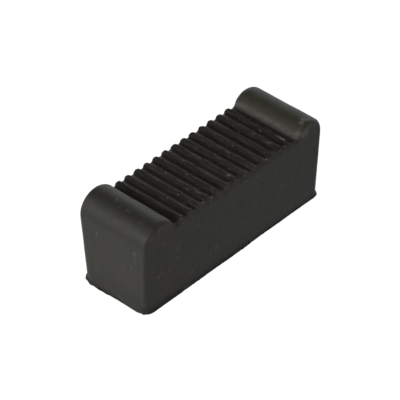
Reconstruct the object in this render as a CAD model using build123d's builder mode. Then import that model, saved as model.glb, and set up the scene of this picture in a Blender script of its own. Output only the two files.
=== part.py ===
"""Jack stand rubber pad: one compression-moulded block of black rubber.

It slips over the saddle of a jack stand and carries the vehicle in a ribbed
trough between two raised, fully rounded end lips.  The origin is the middle
of the footprint, on the plane that the pad stands on.  +X runs along the pad
from lip to lip, +Y across it and +Z up.
"""
import os
from math import cos, radians, sin, sqrt, tan

from build123d import *

# ---- driving sizes, in mm and degrees --------------------------------------
# moulded block
base_length = 120.0          # along X, at the foot
base_width = 40.0            # along Y, at the foot
overall_height = 48.0        # foot to the top of the lips
mould_draft = 0.6            # every outer wall leans out by this angle
edge_radius = 3.2            # vertical corners, ends of the lips, shoulders of the trough
# end lips
lip_radius = 10.4            # the lips are full-round, twice this in thickness
# ribbed trough between the lips
trough_drop = 5.3            # top of the lips down to the rib crests
rib_spacing = 6.0            # nearest pitch, shared out evenly over the floor
rib_height = 1.8             # crest down to the bottom of a groove
crest_flat = 0.3             # level strip along the top of a rib
crest_radius = 0.7           # rounding each side of that strip
foot_radius = 1.5            # groove at the foot of each lip
# thin flash that the mould leaves round the foot
flash_reach = 1.0
flash_thickness = 0.8
# pocket in the underside, which drops over the saddle
pocket_length = 100.0        # at its mouth
pocket_width = 24.0          # at its mouth
pocket_depth = 24.0
pocket_corner = 4.0
pocket_draft = 1.0
pocket_roof_radius = 2.0
# only for picking faces and edges by their place
near = 0.05

# ---- sizes that follow ------------------------------------------------------
wall_lean = tan(radians(mould_draft))
top_width = base_width + 2 * overall_height * wall_lean

# the lip's round is tangent to the leaning end wall and to the top plane
lip_z = overall_height - lip_radius
wall_touch_z = lip_z - lip_radius * sin(radians(mould_draft))
wall_touch_x = base_length / 2 + wall_touch_z * wall_lean
lip_x = wall_touch_x - lip_radius * cos(radians(mould_draft))

crest_z = overall_height - trough_drop
groove_z = crest_z - rib_height

# the groove at a lip's foot is tangent to the lip and as deep as the others
foot_z = groove_z + foot_radius
foot_x = lip_x - sqrt((lip_radius + foot_radius) ** 2 - (foot_z - lip_z) ** 2)
foot_share = foot_radius / (lip_radius + foot_radius)
foot_touch_x = foot_x + (lip_x - foot_x) * foot_share
foot_touch_z = foot_z + (lip_z - foot_z) * foot_share
floor_end_x = foot_x - sqrt(foot_radius**2 - (foot_z - crest_z) ** 2)

# ribs fill the floor evenly, from the groove at one lip's foot to the groove at the other's
rib_count = round(2 * foot_x / rib_spacing)
rib_pitch = 2 * foot_x / rib_count

# grooves between the ribs: a round bottom, tangent to the rounding of each crest
rim_x = (rib_pitch - crest_flat) / 2
rim_z = crest_z - crest_radius
rim_rise = rim_z - groove_z
groove_radius = (rim_x**2 + rim_rise**2 - crest_radius**2) / (2 * rib_height)
groove_share = groove_radius / (groove_radius + crest_radius)
rim_touch_x = rim_x * groove_share
rim_touch_z = groove_z + groove_radius + (rim_rise - groove_radius) * groove_share

# ---- section of half a groove, as a cutter that is open to the top ----------
with BuildSketch() as half_groove:
    with BuildLine():
        bottom = TangentArc((0, groove_z), (rim_touch_x, rim_touch_z), tangent=(1, 0))
        rim = TangentArc(bottom @ 1, (rim_x, crest_z), tangent=bottom % 1)
        Polyline(rim @ 1, (rim_x, overall_height), (0, overall_height), bottom @ 0)
    make_face()

# ---- rubber_pad -------------------------------------------------------------
with BuildPart() as rubber_pad:
    # side outline: leaning ends, full-round lips, foot grooves and a plain floor
    with BuildSketch(Plane.XZ):
        with BuildLine():
            Polyline((0, crest_z), (0, 0), (base_length / 2, 0), (wall_touch_x, wall_touch_z))
            ThreePointArc((wall_touch_x, wall_touch_z), (lip_x, overall_height),
                          (foot_touch_x, foot_touch_z))
            ThreePointArc((foot_touch_x, foot_touch_z), (foot_x, groove_z), (floor_end_x, crest_z))
            Line((floor_end_x, crest_z), (0, crest_z))
        make_face()
        mirror(about=Plane.YZ)
    extrude(amount=base_width, both=True)

    # cross outline: both long sides lean out to the top
    with BuildSketch(Plane.YZ):
        with BuildLine():
            Polyline((-base_width / 2, 0), (base_width / 2, 0), (top_width / 2, overall_height),
                     (-top_width / 2, overall_height), close=True)
        make_face()
    extrude(amount=base_length, both=True, mode=Mode.INTERSECT)

    # one soft edge runs up each corner, over the lip and along the trough's shoulder
    long_sides = faces().sort_by(Axis.Y)
    side_edges = long_sides[0].edges() + long_sides[-1].edges()
    fillet(side_edges.filter_by(lambda edge: edge.center().Z > near), radius=edge_radius)

    # grooves cut clean through both shoulders leave the ribs standing; the grooves at
    # the lips' feet take only their inner half, next to the end ribs
    with BuildSketch(Plane.XZ):
        with GridLocations(rib_pitch, 0, rib_count, 1):
            with Locations((-rib_pitch / 2, 0)):
                add(half_groove.sketch)
        mirror(about=Plane.YZ)
    extrude(amount=base_width, both=True, mode=Mode.SUBTRACT)

    # flash round the foot
    with BuildSketch(Plane.XY):
        RectangleRounded(base_length + 2 * flash_reach, base_width + 2 * flash_reach,
                         edge_radius + flash_reach)
    extrude(amount=flash_thickness)

    # pocket for the saddle, with a rounded roof edge
    with BuildSketch(Plane.XY):
        RectangleRounded(pocket_length, pocket_width, pocket_corner)
    extrude(amount=pocket_depth, taper=pocket_draft, mode=Mode.SUBTRACT)
    roof = faces().filter_by_position(Axis.Z, pocket_depth - near, pocket_depth + near)
    fillet(roof.edges(), radius=pocket_roof_radius)

rubber_pad.part.label = "rubber_pad"

os.makedirs("parts", exist_ok=True)
export_step(rubber_pad.part, "parts/rubber_pad.step")

print(f"ribs: {rib_count}, pitch {rib_pitch:.3f} mm, groove radius {groove_radius:.2f} mm")
print(f"volume: {rubber_pad.part.volume / 1000:.1f} cm3")
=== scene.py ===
"""Looks of the jack stand rubber pad: one compression-moulded block of black rubber.

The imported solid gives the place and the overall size.  A finer skin stands for it, with soft corners,
ribs whose noses curl down to the long sides, ragged flash round the foot, the pocket underneath and
small nicks and pale scuffs of use, which are scattered by seeded chance.  Lengths are in millimetres
until a mesh is made, and +X runs from lip to lip.
"""
from math import atan2, cos, pi, radians, sin, sqrt, tan

import bmesh
import bpy
import numpy as np
from mathutils import Matrix, Vector


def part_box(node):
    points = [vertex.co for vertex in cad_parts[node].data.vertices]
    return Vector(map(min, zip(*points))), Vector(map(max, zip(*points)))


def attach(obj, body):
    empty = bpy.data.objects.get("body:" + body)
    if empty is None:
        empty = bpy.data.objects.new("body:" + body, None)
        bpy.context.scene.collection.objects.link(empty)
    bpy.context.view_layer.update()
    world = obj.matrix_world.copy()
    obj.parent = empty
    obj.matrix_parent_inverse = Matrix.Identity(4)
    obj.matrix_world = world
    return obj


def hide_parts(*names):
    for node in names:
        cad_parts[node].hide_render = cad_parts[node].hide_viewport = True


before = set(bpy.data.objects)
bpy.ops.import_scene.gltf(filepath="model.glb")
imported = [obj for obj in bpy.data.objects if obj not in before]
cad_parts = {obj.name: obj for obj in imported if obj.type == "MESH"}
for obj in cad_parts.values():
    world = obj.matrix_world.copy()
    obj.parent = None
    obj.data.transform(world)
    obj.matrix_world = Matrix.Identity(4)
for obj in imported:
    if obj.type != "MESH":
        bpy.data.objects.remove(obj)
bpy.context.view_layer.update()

MM = 0.001
BODY = "root"
NODE = "rubber_pad"

low, high = (np.array(corner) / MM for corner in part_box(NODE))
chance = np.random.default_rng(7)

# ---- driving sizes, in mm and degrees ----------------------------------------
flash_reach = 1.0                    # the flash round the foot is the widest part of the pad
base_length = high[0] - low[0] - 2 * flash_reach
base_width = high[1] - low[1] - 2 * flash_reach
overall_height = high[2]
mould_draft = 0.6                    # every outer wall leans out by this angle
# the round of each lip, -X and then +X: outer and inner radius, because the +X lip is slimmer inside
lip_radius = ((10.8, 10.8), (10.4, 7.5))
trough_drop = 5.3                    # top of the lips down to the rib crests
rib_count = 13
rib_height = 1.8
crest_edge = 0.35                    # a crest is level this far each side of its middle
steep_flank_end = 1.55               # from a crest's middle to the foot of its -X flank
gentle_flank_end = 2.2               # the same on its +X flank
foot_radius = 1.5                    # groove at the foot of each lip
# rounding at the long sides, at -Y and at +Y
lip_round = ((2.0, 3.2), (1.8, 4.4))     # over the top of the -X lip, and of the +X one
slope_round = (2.8, 3.2)                 # lower end of a lip's inner slope
rib_round = (3.8, 2.8)                   # noses of the ribs, and the grooves between them
# upright corners, for each end wall at -Y and at +Y: radius from the top of the wall down to a
# height, that height, and the radius at the foot that it grows to from there
corners = (((1.4, 7.0, 5.4), (3.0, 36.0, 7.0)),
           ((2.8, 36.0, 5.3), (3.0, 36.0, 6.0)))
groove_end = {-1: 0.85, 1: 0.0}       # how far the grooves are closed at -Y and at +Y, before the side
wall_foot = 2.2                      # lower edge of the walls, just above the flash
flash_thickness = 0.8
slit_depth = 0.6                     # crease between a wall and its flash
pocket_length = 100.0                # at its mouth
pocket_width = 24.0
pocket_depth = 24.0
pocket_corner = 4.0
pocket_draft = 1.0
pocket_roof_radius = 2.0
pocket_mouth_radius = 0.6
# points of the skin: along one rib, over the parts of a lip, down a wall, across the pad and round
# its long edges
rib_steps = 18
foot_steps = 7
inner_steps = 30
outer_steps = 26
wall_steps = 36
across_steps = 80
round_steps = 12

# ---- sizes that follow -------------------------------------------------------
draft = radians(mould_draft)
lean = tan(draft)
crest_z = overall_height - trough_drop
groove_z = crest_z - rib_height
foot_z = groove_z + foot_radius


def half_width(z):
    """Half the pad's width at height z, on its leaning long sides."""
    return base_width / 2 + z * lean


def soft_step(value, start, end):
    """0 up to start, 1 from end on, and between them 3t^2 - 2t^3, so that both ends are level."""
    t = np.clip((value - start) / (end - start), 0, 1)
    return t * t * (3 - 2 * t)


def blend(start, end, share):
    """From start to end as share goes from 0 to 1."""
    return start + (end - start) * share


def lip_middle(outer):
    """Distance of the middle of a lip from the pad's middle.  The outer round, of this radius, touches
    the top plane there, and then the leaning end wall."""
    touch_z = overall_height - outer * (1 + sin(draft))
    return base_length / 2 + touch_z * lean - outer * cos(draft)


def foot_middle(outer, inner):
    """Distance of the groove at a lip's foot from the pad's middle.  It touches the lip's inner round and
    is as deep as the other grooves."""
    rise = foot_z - (overall_height - inner)
    return lip_middle(outer) - sqrt((inner + foot_radius) ** 2 - rise**2)


floor_start, floor_end = -foot_middle(*lip_radius[0]), foot_middle(*lip_radius[1])
rib_pitch = (floor_end - floor_start) / rib_count


def rib_place(x):
    """Number of the nearest rib, and how far x lies from the middle of its crest."""
    rib = np.clip(np.floor((x - floor_start) / rib_pitch), 0, rib_count - 1)
    return rib.astype(int), x - floor_start - (rib + 0.5) * rib_pitch


def crest_share(x):
    """1 along a crest and 0 in a groove.  A steep soft step leads up to the crest on its -X flank and a
    gentler one down from it on its +X flank, and the bottom of a groove is level."""
    away = rib_place(x)[1]
    return 1 - np.where(away < 0, soft_step(-away, crest_edge, steep_flank_end),
                        soft_step(away, crest_edge, gentle_flank_end))


def ribs_outline():
    """The ribbed floor as rows of x, z, outward normal x and z, and the rounding at -Y and at +Y."""
    x = np.linspace(floor_start, floor_end, rib_count * rib_steps + 1)
    near, far = (0 * x + radius for radius in rib_round)
    return np.stack([x, groove_z + rib_height * crest_share(x), 0 * x, 0 * x + 1, near, far])


def end_outline(lip, end_corners):
    """The same rows from the groove at a lip's foot out over the lip and down the end wall, all for the
    +X end.  The groove and the lip's two rounds are arcs, and the wall is straight."""
    outer, inner = lip_radius[lip]
    lip_x, inner_z = lip_middle(outer), overall_height - inner
    foot_x = foot_middle(outer, inner)
    foot_turn = atan2(inner_z - foot_z, lip_x - foot_x)     # from the foot groove's middle to the lip's
    turn = np.linspace(-pi / 2, foot_turn, foot_steps + 1)[1:]
    share = (turn + pi / 2) / (foot_turn + pi / 2)
    foot = [foot_x + foot_radius * np.cos(turn), foot_z + foot_radius * np.sin(turn),
            -np.cos(turn), -np.sin(turn), *(blend(*pair, share) for pair in zip(rib_round, slope_round))]
    turn = np.linspace(pi + foot_turn, pi / 2, inner_steps + 1)[1:]
    share = soft_step(-turn, -pi - foot_turn, -pi * 0.65)
    slope = [lip_x + inner * np.cos(turn), inner_z + inner * np.sin(turn), np.cos(turn), np.sin(turn),
             *(blend(*pair, share) for pair in zip(slope_round, lip_round[lip]))]
    turn = np.linspace(pi / 2, -draft, outer_steps + 1)[1:]
    share = soft_step(-turn, -pi / 2, 0)
    uppers = [upper for upper, _, _ in end_corners]
    back = [lip_x + outer * np.cos(turn), overall_height - outer * (1 - np.sin(turn)),
            np.cos(turn), np.sin(turn), *(blend(*pair, share) for pair in zip(lip_round[lip], uppers))]
    z = np.linspace(back[1][-1], wall_foot, wall_steps + 1)[1:]
    wall = [base_length / 2 + z * lean, z, 0 * z + cos(draft), 0 * z - sin(draft),
            *(blend(upper, foot_corner, np.clip((start - z) / (start - wall_foot), 0, 1))
              for upper, start, foot_corner in end_corners)]
    return np.concatenate([foot, slope, back, wall], axis=1)


def side_outline():
    """The whole outline from the foot of the -X end wall to the foot of the +X one."""
    left = end_outline(0, corners[0])[:, ::-1] * np.array([-1, 1, -1, 1, 1, 1])[:, None]
    right = end_outline(1, corners[1])
    return np.concatenate([left, ribs_outline(), right], axis=1)


def carried_across(outline):
    """The outline carried across the pad.  In the middle it is level.  Towards a long side a quarter
    turn takes it inwards along the normal by radius (1 - cos) and short of the side by
    radius (1 - sin).  There the bottom of each groove also rises towards the crests, from its own
    turn onwards, by as much as groove_end says."""
    x, z, nx, nz, near_radius, far_radius = (row[:, None] for row in outline)
    v = np.linspace(0, 1, across_steps + 1)[None, :]
    y = blend(near_radius - half_width(z), half_width(z) - far_radius, v)
    middle = np.stack(np.broadcast_arrays(x, y, z), axis=-1)
    turn = np.linspace(0, pi / 2, round_steps + 1)[None, 1:]

    groove = np.clip(np.round((x - floor_start) / rib_pitch), 0, rib_count).astype(int)
    tip = 0.15 + chance.uniform(-0.15, 0.25, rib_count + 1)[groove]

    between_lips = np.abs(x) < lip_middle(lip_radius[0][0])

    def rolled(radius, side):
        inset = radius * (1 - np.cos(turn))
        closed = groove_end[side] * soft_step(turn, tip, tip + 0.5) * between_lips
        end_z = z - inset * nz + closed * np.maximum(crest_z - 0.2 - z, 0)
        end_y = side * (half_width(end_z) - radius * (1 - np.sin(turn)))
        return np.stack([x - inset * nx, end_y, end_z], axis=-1)

    return np.concatenate([rolled(near_radius, -1)[:, ::-1], middle, rolled(far_radius, 1)], axis=1)


def stretched(bottom, top, left, right):
    """The surface stretched between four edges: the two blends of facing edges, less the blend of the
    four corners.  bottom and top have as many points, and so do left and right."""
    u = np.linspace(0, 1, len(bottom))[None, :, None]
    v = np.linspace(0, 1, len(left))[:, None, None]
    across = (1 - v) * bottom[None] + v * top[None]
    upwards = (1 - u) * left[:, None] + u * right[:, None]
    corners = ((1 - u) * (1 - v) * bottom[0] + u * (1 - v) * bottom[-1]
               + (1 - u) * v * top[0] + u * v * top[-1])
    return across + upwards - corners


def side_edges(edge, wall_rows):
    """Splits one long edge of the carried outline into the four edges of the side face below it: the
    straight foot, whose points are spaced like those above them, the top, and the two corners."""
    left, right = edge[:wall_rows + 1], edge[::-1][:wall_rows + 1]
    upper = edge[wall_rows:len(edge) - wall_rows]
    moved = np.linalg.norm(np.diff(upper, axis=0), axis=1)
    share = np.concatenate([[0], np.cumsum(moved)])[:, None] / moved.sum()
    return left[0] + (right[0] - left[0]) * share, upper, left, right


def ragged(place, length, knot_step, lowest):
    """Torn edge: random heights from lowest to 1 at even knots, joined by straight lines, along a
    closed line of the given length."""
    knots = np.linspace(0, length, int(length / knot_step))
    heights = chance.uniform(lowest, 1, len(knots))
    heights[-1] = heights[0]
    return np.interp(place, knots, heights)


def rounded_rectangle(length, width, radius, like):
    """A rounded rectangle with a point for each plan point of `like`.  Each goes out from the long
    middle line until it meets the square outline, and in a corner it is then pulled in to the radius."""
    half = np.array([length, width]) / 2
    spine = half[0] - half[1]
    start = np.stack([np.clip(like[:, 0], -spine, spine), 0 * like[:, 1]], axis=1)
    away = like - start
    square = start + away / np.abs(away).max(axis=1)[:, None] * half[1]
    corner = np.clip(square, -(half - radius), half - radius)
    over = square - corner
    size = np.linalg.norm(over, axis=1)[:, None]
    return corner + over * np.where(size > radius, radius / np.maximum(size, 1e-9), 1.0)


def flash_share(plan):
    """How much of the flash is left: least along the near half of the -X end, where it was trimmed, less
    along the +X half of the -Y side than along the rest, and full elsewhere, with a lump near the
    -X end of the -Y side."""
    x, y = plan.T
    trimmed = (x < -base_length / 2 + 1) * soft_step(-y, -4, 3) * (1 - soft_step(-y, 18, 20.5))
    shorter = (y < 0) * soft_step(x, 5, 15) * (1 - soft_step(x, 55, 58))
    lump = (y < 0) * soft_step(x, -58, -55) * (1 - soft_step(x, -40, -34))
    return 1 - 0.95 * trimmed - 0.45 * shorter + 0.5 * lump


def crease_share(plan):
    """1 where a crease parts the flash from the wall, along the far half of the -X end."""
    x, y = plan.T
    return (x < -base_length / 2 + 1) * soft_step(y, -8, -4)


def underside(loop, side_count):
    """From the closed foot of the walls a set of rings goes down into the crease, out along the flash
    to its torn edge, in below it to the pocket's mouth, up the leaning pocket wall, round the roof's
    edge and in to the roof's middle line.  Each ring is a plan outline at one height.  side_count is
    how many steps of the loop, which starts at -X, -Y, lie along one long side."""
    plan = loop[:, :2]
    along = np.roll(plan, -1, axis=0) - np.roll(plan, 1, axis=0)
    outward = np.stack([along[:, 1], -along[:, 0]], axis=1)
    outward /= np.linalg.norm(outward, axis=1)[:, None]
    steps = np.linalg.norm(np.roll(plan, -1, axis=0) - plan, axis=1)
    place = np.concatenate([[0], np.cumsum(steps)[:-1]])
    length = steps.sum()
    torn = ragged(place, length, 1.1, 0.75) * ragged(place, length, 9.0, 0.85) * flash_share(plan)
    creased = crease_share(plan)
    torn *= blend(1.0, ragged(place, length, 2.0, 0.2), creased)
    reach = 0.98 * flash_reach * np.minimum(torn, 1)
    tall = ragged(place, length, 1.7, 0.6)
    slit = slit_depth * ragged(place, length, 6.0, 0.3) * creased
    rings = [loop]

    def ring(outline, z):
        rings.append(np.column_stack([outline, np.broadcast_to(z, len(outline))]))

    # how far in, how far out and how high, where the flash flares out of the wall and where a crease
    # parts them
    parted_height = flash_thickness * tall
    for inwards, flared, parted in ((slit, (0.08, 0.80 * wall_foot), (0.0, 0.62 * wall_foot)),
                                    (0.0, (0.35, 1.35 * tall), (0.3, parted_height)),
                                    (0.0, (0.75, 0.85 * tall), (0.75, 0.65 * parted_height)),
                                    (0.0, (1.0, 0.40 * tall), (1.0, 0.3 * parted_height)),
                                    (0.0, (0.9, 0.0), (0.85, 0.0))):
        share, z = (blend(*pair, creased) for pair in zip(flared, parted))
        ring(plan + outward * (reach * share - inwards)[:, None], z)

    def pocket_ring(inset, z):
        ring(rounded_rectangle(pocket_length - 2 * inset, pocket_width - 2 * inset,
                               pocket_corner, plan), z)

    pocket_lean = tan(radians(pocket_draft))
    for turn in np.linspace(0, pi / 2, 5):
        pocket_ring(pocket_mouth_radius * (sin(turn) - 1), pocket_mouth_radius * (1 - cos(turn)))
    for z in np.linspace(pocket_mouth_radius, pocket_depth - pocket_roof_radius, 6)[1:]:
        pocket_ring(z * pocket_lean, z)
    roof_inset = (pocket_depth - pocket_roof_radius) * pocket_lean
    for turn in np.linspace(0, pi / 2, 6)[1:]:
        pocket_ring(roof_inset + pocket_roof_radius * (1 - cos(turn)),
                    pocket_depth - pocket_roof_radius * (1 - sin(turn)))
    spine = (pocket_length - pocket_width) / 2
    # each point and the one across the pad from it meet in one point, so that the roof is closed
    across = (side_count + len(plan) // 2 - np.arange(len(plan))) % len(plan)
    meeting_x = np.clip((plan[:, 0] + plan[across, 0]) / 2, -spine, spine)
    ring(np.column_stack([meeting_x, 0 * meeting_x]), pocket_depth)
    return np.stack(rings, axis=1)


class Skin:
    """Grids of points gathered into one closed mesh."""

    def __init__(self):
        self.points, self.faces, self.count = [], [], 0

    def grid(self, points, closed=False):
        """Adds rows x columns of points, joined by four-sided faces.  closed joins the last row to the
        first."""
        rows, columns = points.shape[:2]
        index = np.arange(rows * columns).reshape(rows, columns) + self.count
        if closed:
            index = np.concatenate([index, index[:1]])
        quads = np.stack([index[:-1, :-1], index[1:, :-1], index[1:, 1:], index[:-1, 1:]], axis=-1)
        self.faces.append(quads.reshape(-1, 4))
        self.points.append(points.reshape(-1, 3))
        self.count += rows * columns

    def build(self, name):
        """Makes the mesh in metres, merges the seams and turns the faces outwards."""
        mesh = bpy.data.meshes.new(name)
        places = np.concatenate(self.points) * MM
        mesh.from_pydata(places.tolist(), [], np.concatenate(self.faces).tolist())
        work = bmesh.new()
        work.from_mesh(mesh)
        bmesh.ops.remove_doubles(work, verts=work.verts, dist=0.004 * MM)
        bmesh.ops.dissolve_degenerate(work, edges=work.edges, dist=0.001 * MM)
        bmesh.ops.recalc_face_normals(work, faces=work.faces)
        work.to_mesh(mesh)
        work.free()
        mesh.shade_smooth()
        piece = bpy.data.objects.new(name, mesh)
        bpy.context.scene.collection.objects.link(piece)
        return piece


def pad_skin():
    """The pad's whole closed skin: the carried outline, both side faces and the underside."""
    top = carried_across(side_outline())
    skin = Skin()
    skin.grid(top)
    near = side_edges(top[:, 0], wall_steps)
    far = side_edges(top[:, -1], wall_steps)
    skin.grid(stretched(*near))
    skin.grid(stretched(*far))
    loop = np.concatenate([near[0][:-1], top[-1][:-1], far[0][::-1][:-1], top[0][::-1][:-1]])
    skin.grid(underside(loop, len(near[0]) - 1), closed=True)
    return skin.build("rubber_pad_skin")


# ---- wear, and painted light and shade -----------------------------------------
# Each mark is a centre, its turn in degrees, half its length and width, its height (below 0 for a nick)
# and how pale it is.  The centre is y, z on the -X end wall, x, z on the -Y side and x, y on the top, and a
# turn of 0 lies along the first of these two.
wear_chance = np.random.default_rng(11)


def scattered(count, *ranges):
    """Marks in which each of the seven values is drawn evenly between the two ends of its range."""
    starts, ends = np.array(ranges).T
    return wear_chance.uniform(starts, ends, (count, len(starts)))


def end_marks():
    """Faint nicks and scuffs all over the -X end wall."""
    half = base_width / 2
    return scattered(14, (-0.95 * half, 0.7 * half), (4, 42), (0, 180), (0.8, 1.9), (0.4, 0.7),
                     (-0.1, 0.05), (0.1, 0.28))


def side_marks():
    """A few faint scratches over the -Y side, and crumbs left on the flash along its foot."""
    reach = base_length / 2 - 6
    scratches = scattered(13, (-reach, reach), (6, 40), (0, 180), (0.9, 2.6), (0.4, 0.5), (-0.08, 0.02),
                          (0.15, 0.34))
    crumbs = scattered(5, (-reach, -0.15 * reach), (0.9, 1.0), (0, 10), (0.7, 1.6), (0.5, 0.8),
                       (0.15, 0.2), (0.35, 0.5))
    return np.concatenate([scratches, crumbs])


def rib_marks():
    """Where the moulding tore as it left the mould: a chip at the -Y end of nearly every groove, and
    crumbs on the crests, most of them towards -Y."""
    side = -base_width / 2
    chips = scattered(rib_count - 1, (-0.7, 0.7), (side + 1.0, side + 3.5), (90, 120), (0.9, 2.6),
                      (0.5, 0.7), (0.08, 0.15), (0.35, 0.7))
    chips[:, 0] += floor_start + rib_pitch * np.arange(1, rib_count)
    crumbs = scattered(18, (-0.5, 0.5), (0, 1), (0, 180), (0.7, 1.5),
                       (0.4, 0.7), (0.2, 0.3), (0.3, 0.7))
    crumbs[:, 0] += floor_start + rib_pitch * (wear_chance.integers(0, rib_count, len(crumbs)) + 0.5)
    crumbs[:, 1] = side + 4 + 26 * crumbs[:, 1] ** 2
    return np.concatenate([chips, crumbs])


def lip_marks():
    """Scuffs on the -X lip, and a scraped patch where the +X lip meets the -Y side."""
    near_lip, far_lip = -lip_middle(lip_radius[0][0]), lip_middle(lip_radius[1][0])
    side = -base_width / 2
    scuffs = scattered(7, (near_lip - 6, near_lip + 3), (side + 1, -0.3 * side), (0, 180), (0.6, 1.6),
                       (0.4, 0.7), (0.0, 0.1), (0.15, 0.38))
    scraped = scattered(9, (far_lip - 8, far_lip + 3), (side + 1, side + 3), (45, 125), (0.9, 2.1),
                        (0.5, 0.7), (0.0, 0.12), (0.3, 0.55))
    return np.concatenate([scuffs, scraped])


def placed(marks, place):
    """The marks with their centre and direction in space.  place gives the point of the skin under a
    centre, and the direction is the way that point moves with a small step along the turn."""
    for first, second, turn, half_length, half_wide, height, pale in marks:
        step = 0.5 * cos(radians(turn)), 0.5 * sin(radians(turn))
        start, end = place(first - step[0], second - step[1]), place(first + step[0], second + step[1])
        along = (end - start) / np.linalg.norm(end - start)
        yield (start + end) / 2, along, half_length, half_wide, height, pale


def all_marks(points):
    """Every mark, laid on its wall or on the highest point of the skin near its centre."""
    upper = points[points[:, 2] > groove_z - 2]

    def on_top(x, y):
        aside_squared = (upper[:, 0] - x) ** 2 + (upper[:, 1] - y) ** 2
        close = aside_squared < max(0.36, aside_squared.min() * 1.1)
        return np.array([x, y, upper[close, 2].max()])

    yield from placed(end_marks(), lambda y, z: np.array([-base_length / 2 - z * lean, y, z]))
    yield from placed(side_marks(), lambda x, z: np.array([x, -half_width(z), z]))
    yield from placed(rib_marks(), on_top)
    yield from placed(lip_marks(), on_top)


def marked(points):
    """Height and paleness that the marks give each point.  A mark fades as exp(-a^4 - b^2), where a is
    the distance along it over 0.8 of its half length and b the distance aside over half of its half
    width."""
    height, pale = np.zeros(len(points)), np.zeros(len(points))
    for centre, along, half_length, half_wide, rise, paleness in all_marks(points):
        away = points - centre
        lengthwise = away @ along
        aside_squared = np.maximum((away**2).sum(axis=1) - lengthwise**2, 0)
        strength = np.exp(-((lengthwise / (0.8 * half_length)) ** 4)
                          - aside_squared / (0.5 * half_wide) ** 2)
        height += rise * strength
        pale = np.maximum(pale, paleness * strength)
    return height, pale


def unevenness(points, waves, longest, size):
    """Shallow unevenness: the mean of plane waves with random directions and phases and with lengths
    from half the longest up to it, scaled to size and kept on the inner side of the skin."""
    directions = chance.normal(size=(3, waves))
    directions /= np.linalg.norm(directions, axis=0)
    lengths = chance.uniform(longest / 2, longest, waves)
    phases = chance.uniform(0, 2 * pi, waves)
    mean = np.sin(2 * pi * (points @ directions) / lengths + phases).mean(axis=1)
    return -size * (0.5 + np.clip(mean * sqrt(waves) / 3, -0.5, 0.5))


def in_ribs(points):
    """1 on the ribbed floor, 0 on the lips, and fading out down the long sides."""
    x, y, z = points.T
    return (x > floor_start) * (x < floor_end) * soft_step(z, groove_z - 2.5, groove_z - 0.5)


def rib_wear(points):
    """Ribs that are not quite alike.  Each crest sinks a little and leans to one side by its own random
    amount plus a slow sine along the rib, in full at the crest and not at all in the grooves."""
    x, y, z = points.T
    share = crest_share(x) * in_ribs(points)
    rib = rib_place(x)[0]
    sunk = chance.uniform(0.0, 0.12, rib_count)[rib]
    phase = chance.uniform(0, 2 * pi, (2, rib_count))[:, rib]
    sideways = chance.uniform(-0.2, 0.2, rib_count)[rib] + 0.15 * np.sin(2 * pi * y / 26 + phase[0])
    sunk = sunk + 0.04 * (1 + np.sin(2 * pi * y / 17 + phase[1]))
    return np.column_stack([share * sideways, 0 * y, -share * sunk])


def gentle_flank(x):
    """1 in the middle of each gentle flank, fading both ways along the outline."""
    away = np.abs(rib_place(x)[1] - 1.8)
    return 1 - soft_step(np.minimum(away, rib_pitch - away), 0.5, 2.0)


def groove_painted_shade(points):
    """Painted shade: 1 in the grooves and on the steep flanks, where shade falls, and 0 on the gentle
    flanks, the lips and the outer walls.  At -Y it ends with the grooves."""
    x, y, z = points.T
    gentle = gentle_flank(x)
    along = soft_step(x, floor_start - 1.5, floor_start) * (1 - soft_step(x, floor_end, floor_end + 1.5))
    level = soft_step(z, groove_z - 2.5, groove_z - 0.5) * (1 - soft_step(z, crest_z, crest_z + 1.5))
    return along * level * (1 - gentle) * soft_step(half_width(z) + y, 1.0, 2.2)


def band(distance, half_wide):
    """A soft band that fades as exp(-d^2), with d the distance from its middle over its half width."""
    return np.exp(-((distance / half_wide) ** 2))


def wear_and_painted_light(points):
    """Where the skin is paler: from wear along the upright corners and the rims of the lips, and with
    painted light, where faces catch the light, on the outer round of the -X lip, low on the inner slope of
    the +X one, on the ribs' gentle flanks and shoulders, and a little over the -X end wall."""
    x, y, z = points.T
    short_y = half_width(z) - np.abs(y)
    short_x = base_length / 2 + z * lean - np.abs(x)
    corner = 0.12 * np.exp(-((short_x - 0.7) ** 2 + (short_y - 0.7) ** 2) / 1.2)
    on_lip = soft_step(z, crest_z - 1, crest_z + 2)
    rim = (0.1 + 0.5 * (x > 0)) * band(short_y - 1.0, 1.1) * on_lip * (1 - in_ribs(points))
    # painted light from here on: these faces are painted paler where they catch the light, while the
    # corners and rims above are wear
    outer_round = 0.3 * band(z - 44.0, 2.4) * (x < -lip_middle(lip_radius[0][0]))
    on_slope = (x > floor_end) * (x < lip_middle(lip_radius[1][0]))
    inner_slope = band(z - 43.0, 1.9) * on_slope
    flank = gentle_flank(x) * in_ribs(points) * soft_step(half_width(z) + y, 2.2, 3.4)
    shoulder = 0.35 * band(half_width(z) + y - 0.8, 1.4) * in_ribs(points)
    on_end = soft_step(-x, base_length / 2 - 1.5, base_length / 2 - 0.2)
    lit_end_wall = 0.12 * on_end * soft_step(z, 2, 18) * (1 - soft_step(z, 36, 42))
    return np.clip(corner + rim + outer_round + inner_slope + lit_end_wall + flank + shoulder, 0, 1)


def lip_painted_shade(points):
    """A darker band of painted shade over the top of the -X lip, a little outside its highest line."""
    x, y, z = points.T
    uneven = 0.75 + 0.25 * np.sin(2 * pi * y / 19 + 1.3)
    return 0.45 * uneven * band(x + lip_middle(lip_radius[0][0]) + 3.0, 1.6) * (z > crest_z)


def olive_tinge(points):
    """1 over the tops of the lips and down their inner sides, where the rubber has an olive tinge."""
    x, y, z = points.T
    middle = np.where(x < 0, lip_middle(lip_radius[0][0]), lip_middle(lip_radius[1][0]))
    return soft_step(z, 44.0, 46.5) * (1 - soft_step(np.abs(x), middle - 1.0, middle + 4.0))


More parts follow.
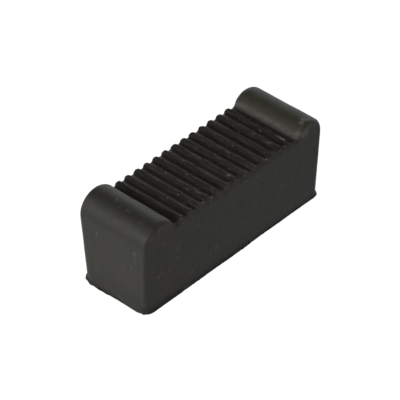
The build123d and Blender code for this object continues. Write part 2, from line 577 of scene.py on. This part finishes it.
def foot_crease_shade(points):
    """1 where shade is painted in the crease along the foot of the walls: a thin band broken up by a sum of
    sines, with none on the face that the pad stands on."""
    x, y, z = points.T
    around = x - y
    broken = np.sin(around * 0.9) + np.sin(around * 1.7 + 1.0) + np.sin(around * 3.1 + 2.0)
    # no painted shade over this part of the -Y side
    unshaded = soft_step(x, -50, -46) * (1 - soft_step(x, -8, 4)) * (y < 0)
    broken = np.where(crease_share(points[:, :2]) > 0.5, 1.4, broken)
    return (z > 0.05) * (1 - soft_step(z, 0.5, 1.7)) * soft_step(broken, 0.0, 1.4) * (1 - unshaded)


def worn_with_painted_light_and_shade(pad):
    """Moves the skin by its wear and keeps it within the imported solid's box, and stores what the
    material needs to know: groove, rubbed, ribbed, olive and scuff."""
    mesh = pad.data
    co = np.empty(len(mesh.vertices) * 3)
    mesh.vertices.foreach_get("co", co)
    points = co.reshape(-1, 3) / MM
    # painted shade: the grooves and steep flanks, the crease along the foot and a band over the -X lip are
    # painted darker, and the material reads it as groove
    painted_shade = np.maximum.reduce([groove_painted_shade(points), foot_crease_shade(points), lip_painted_shade(points)])
    # the second of these attributes is paler skin: wear on corners and rims, and painted light where faces
    # catch the light
    facts = {"groove": painted_shade, "rubbed_and_lit": wear_and_painted_light(points), "ribbed": in_ribs(points),
             "olive": olive_tinge(points)}
    points = points + rib_wear(points)
    normals = np.empty(len(mesh.vertices) * 3)
    mesh.vertices.foreach_get("normal", normals)
    height, facts["scuff"] = marked(points)
    height += unevenness(points, 24, 30.0, 0.12) + unevenness(points, 40, 6.0, 0.03)
    height += (unevenness(points, 60, 2.4, 0.22) + 0.2) * in_ribs(points)
    points = points + normals.reshape(-1, 3) * height[:, None]
    points = np.clip(points, low + 0.01, high - 0.005)
    mesh.vertices.foreach_set("co", (points * MM).ravel())
    for name, value in facts.items():
        mesh.attributes.new(name, "FLOAT", "POINT").data.foreach_set("value", value)
    mesh.update()


pad = pad_skin()
worn_with_painted_light_and_shade(pad)
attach(pad, BODY)
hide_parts(NODE)

# ---- camera --------------------------------------------------------------------
camera_azimuth = radians(-47.475)
camera_elevation = radians(38.99)
camera_distance = 1284.6
camera_aim = (-1.14, 0.30, 20.34)        # aside to the right, up across the view, and height
focal_length = 252.0
film_width = 36.0

back = Vector((sin(camera_azimuth) * cos(camera_elevation),
               -cos(camera_azimuth) * cos(camera_elevation), sin(camera_elevation)))
rightward = Vector((cos(camera_azimuth), sin(camera_azimuth), 0))
upward = back.cross(rightward)
aim = camera_aim[0] * rightward + camera_aim[1] * upward + Vector((0, 0, camera_aim[2]))
lens = bpy.data.cameras.new("camera")
lens.sensor_width = film_width
lens.lens = focal_length
lens.clip_start, lens.clip_end = 0.01, 10
camera = bpy.data.objects.new("camera", lens)
bpy.context.scene.collection.objects.link(camera)
place = Matrix((rightward, upward, back)).transposed().to_4x4()
place.translation = (aim + back * camera_distance) * MM
camera.matrix_world = place
bpy.context.scene.camera = camera

# ---- material ------------------------------------------------------------------
def linear(colour):
    """An sRGB hex colour as linear red, green, blue and alpha."""
    parts = np.array([int(colour[k:k + 2], 16) for k in (1, 3, 5)]) / 255
    return (*np.where(parts <= 0.04045, parts / 12.92, ((parts + 0.055) / 1.055) ** 2.4), 1)


def add(tree, kind, inputs, **settings):
    """Adds a node with its settings, and sets or links its inputs, which are named or numbered."""
    made = tree.nodes.new(kind)
    for name, value in settings.items():
        setattr(made, name, value)
    for socket, value in inputs.items():
        if isinstance(value, bpy.types.NodeSocket):
            tree.links.new(value, made.inputs[socket])
        else:
            made.inputs[socket].default_value = value
    return made


def moulded_rubber():
    """Carbon-black rubber, compression moulded and cured: almost matt, a soft sheen with no sharp
    reflection, a faint grey bloom in patches, blacker with painted shade in the grooves, along the foot
    crease and over the -X lip, paler and duller along the rims and in the scuffs, and paler with painted
    light where faces catch it."""
    material = bpy.data.materials.new("moulded_rubber")
    material.use_nodes = True
    tree = material.node_tree
    shader = tree.nodes["Principled BSDF"]
    shader.inputs["Specular IOR Level"].default_value = 0.11
    place = add(tree, "ShaderNodeTexCoord", {}).outputs["Object"]

    def noise(size, detail=2.0, stretch=(1, 1, 1)):
        """Noise whose patches are about this many millimetres across, stretched along each axis."""
        turned = add(tree, "ShaderNodeMapping", {"Vector": place, "Scale": [1 / part for part in stretch]})
        return add(tree, "ShaderNodeTexNoise", {"Vector": turned.outputs[0], "Scale": 1 / (size * MM),
                                                "Detail": detail}).outputs["Fac"]

    def spread(value, start, end, to_start=0.0, to_end=1.0):
        """The value between start and end, brought to the other range and held at its ends."""
        return add(tree, "ShaderNodeMapRange", {"Value": value, "From Min": start, "From Max": end,
                                                "To Min": to_start, "To Max": to_end}).outputs[0]

    def both(first, second, operation="MULTIPLY"):
        """The two values put together, held between 0 and 1."""
        made = add(tree, "ShaderNodeMath", {0: first, 1: second}, operation=operation, use_clamp=True)
        return made.outputs[0]

    def mixed(share, first, second):
        return add(tree, "ShaderNodeMixRGB", {"Fac": share, "Color1": first, "Color2": second}).outputs[0]

    def stored(name):
        return add(tree, "ShaderNodeAttribute", {}, attribute_name=name).outputs["Fac"]

    bloom = noise(14, 3.0)                        # bloom gathers in patches a finger wide
    mottle = noise(2.6, 3.0)                      # flow marks of the rubber
    streaks = noise(1.3, 2.0, (1, 7, 1))          # streaks along the ribs that break up the painted shade
    crumbs = noise(1.1, 2.0, (1, 2.5, 1))                      # torn crumbs, drawn out along the ribs
    grain = noise(0.8, 2.0)                       # cured grain is near 0.1 mm and is drawn coarser
    groove, rubbed_and_lit, scuff, ribbed, olive = (
        stored(name) for name in ("groove", "rubbed_and_lit", "scuff", "ribbed", "olive"))

    colour = mixed(spread(bloom, 0.38, 0.64), linear("#22201e"), linear("#1f201d"))
    colour = mixed(spread(grain, 0.35, 0.65, 0.0, 0.06), colour, linear("#33322f"))
    # paler skin: wear along corners and rims, and painted light where faces catch the light
    colour = mixed(both(rubbed_and_lit, spread(mottle, 0.35, 0.6, 0.5, 1.0)), colour, linear("#403e38"))
    colour = mixed(both(olive, spread(mottle, 0.35, 0.6, 0.6, 1.0)), colour, linear("#292820"))
    # painted shade in the grooves and on the steep flanks, along the foot crease and over the -X lip,
    # broken up in streaks along the ribs
    painted_groove_shade = both(groove, spread(streaks, 0.35, 0.62, 1.0, 0.3))
    colour = mixed(painted_groove_shade, colour, linear("#1b1815"))
    torn = both(both(ribbed, spread(bloom, 0.46, 0.56)), spread(crumbs, 0.64, 0.74))
    pale = both(both(scuff, spread(grain, 0.38, 0.58, 0.35, 1.0)), both(torn, 0.32), "ADD")
    colour = mixed(pale, colour, linear("#7c7970"))
    tree.links.new(colour, shader.inputs["Base Color"])

    dull = both(both(painted_groove_shade, 0.5), both(pale, 0.4), "ADD")
    rough = both(spread(mottle, 0.3, 0.7, 0.54, 0.62), dull, "ADD")
    tree.links.new(rough, shader.inputs["Roughness"])

    fine = add(tree, "ShaderNodeBump", {"Height": grain, "Strength": 0.15, "Distance": 0.05 * MM})
    broad = add(tree, "ShaderNodeBump", {"Height": mottle, "Strength": 0.08, "Distance": 0.3 * MM,
                                         "Normal": fine.outputs[0]})
    tree.links.new(broad.outputs[0], shader.inputs["Normal"])
    return material


pad.data.materials.append(moulded_rubber())

# ---- light and floor -------------------------------------------------------------
world = bpy.data.worlds.new("studio")
world.use_nodes = True
world.node_tree.nodes["Background"].inputs["Color"].default_value = (1, 1, 1, 1)
world.node_tree.nodes["Background"].inputs["Strength"].default_value = 0.0
bpy.context.scene.world = world
bpy.context.scene.view_settings.view_transform = "Standard"


def softbox(name, azimuth, elevation, power):
    """A square soft light, one metre from the pad and turned towards it."""
    light = bpy.data.lights.new(name, "AREA")
    light.shape = "SQUARE"
    light.size = 0.6
    light.energy = power
    lamp = bpy.data.objects.new(name, light)
    bpy.context.scene.collection.objects.link(lamp)
    a, e = radians(azimuth), radians(elevation)
    towards = Vector((sin(a) * cos(e), -cos(a) * cos(e), sin(e)))
    lamp.location = towards
    lamp.rotation_mode = "QUATERNION"
    lamp.rotation_quaternion = towards.to_track_quat("Z", "Y")


softbox("left_softbox", -90, 15, 7.9)
softbox("high_left_softbox", -90, 45, 3.0)
softbox("front_softbox", -45, 45, 4.5)
softbox("right_softbox", 90, 15, 6.2)
softbox("rear_right_softbox", 135, 15, 4.2)
softbox("rear_left_softbox", -135, 15, 4.6)

bpy.ops.mesh.primitive_plane_add(size=6)
floor = bpy.context.object
floor.name = "floor"
# an even white that gives its own light, so that no shadow or shade of grey lies round the black pad
pale_floor = bpy.data.materials.new("pale_floor")
pale_floor.use_nodes = True
floor_shader = pale_floor.node_tree.nodes["Principled BSDF"]
floor_shader.inputs["Base Color"].default_value = (0, 0, 0, 1)
floor_shader.inputs["Specular IOR Level"].default_value = 0
floor_shader.inputs["Emission Color"].default_value = (1, 1, 1, 1)
floor_shader.inputs["Emission Strength"].default_value = 1.04
floor.data.materials.append(pale_floor)
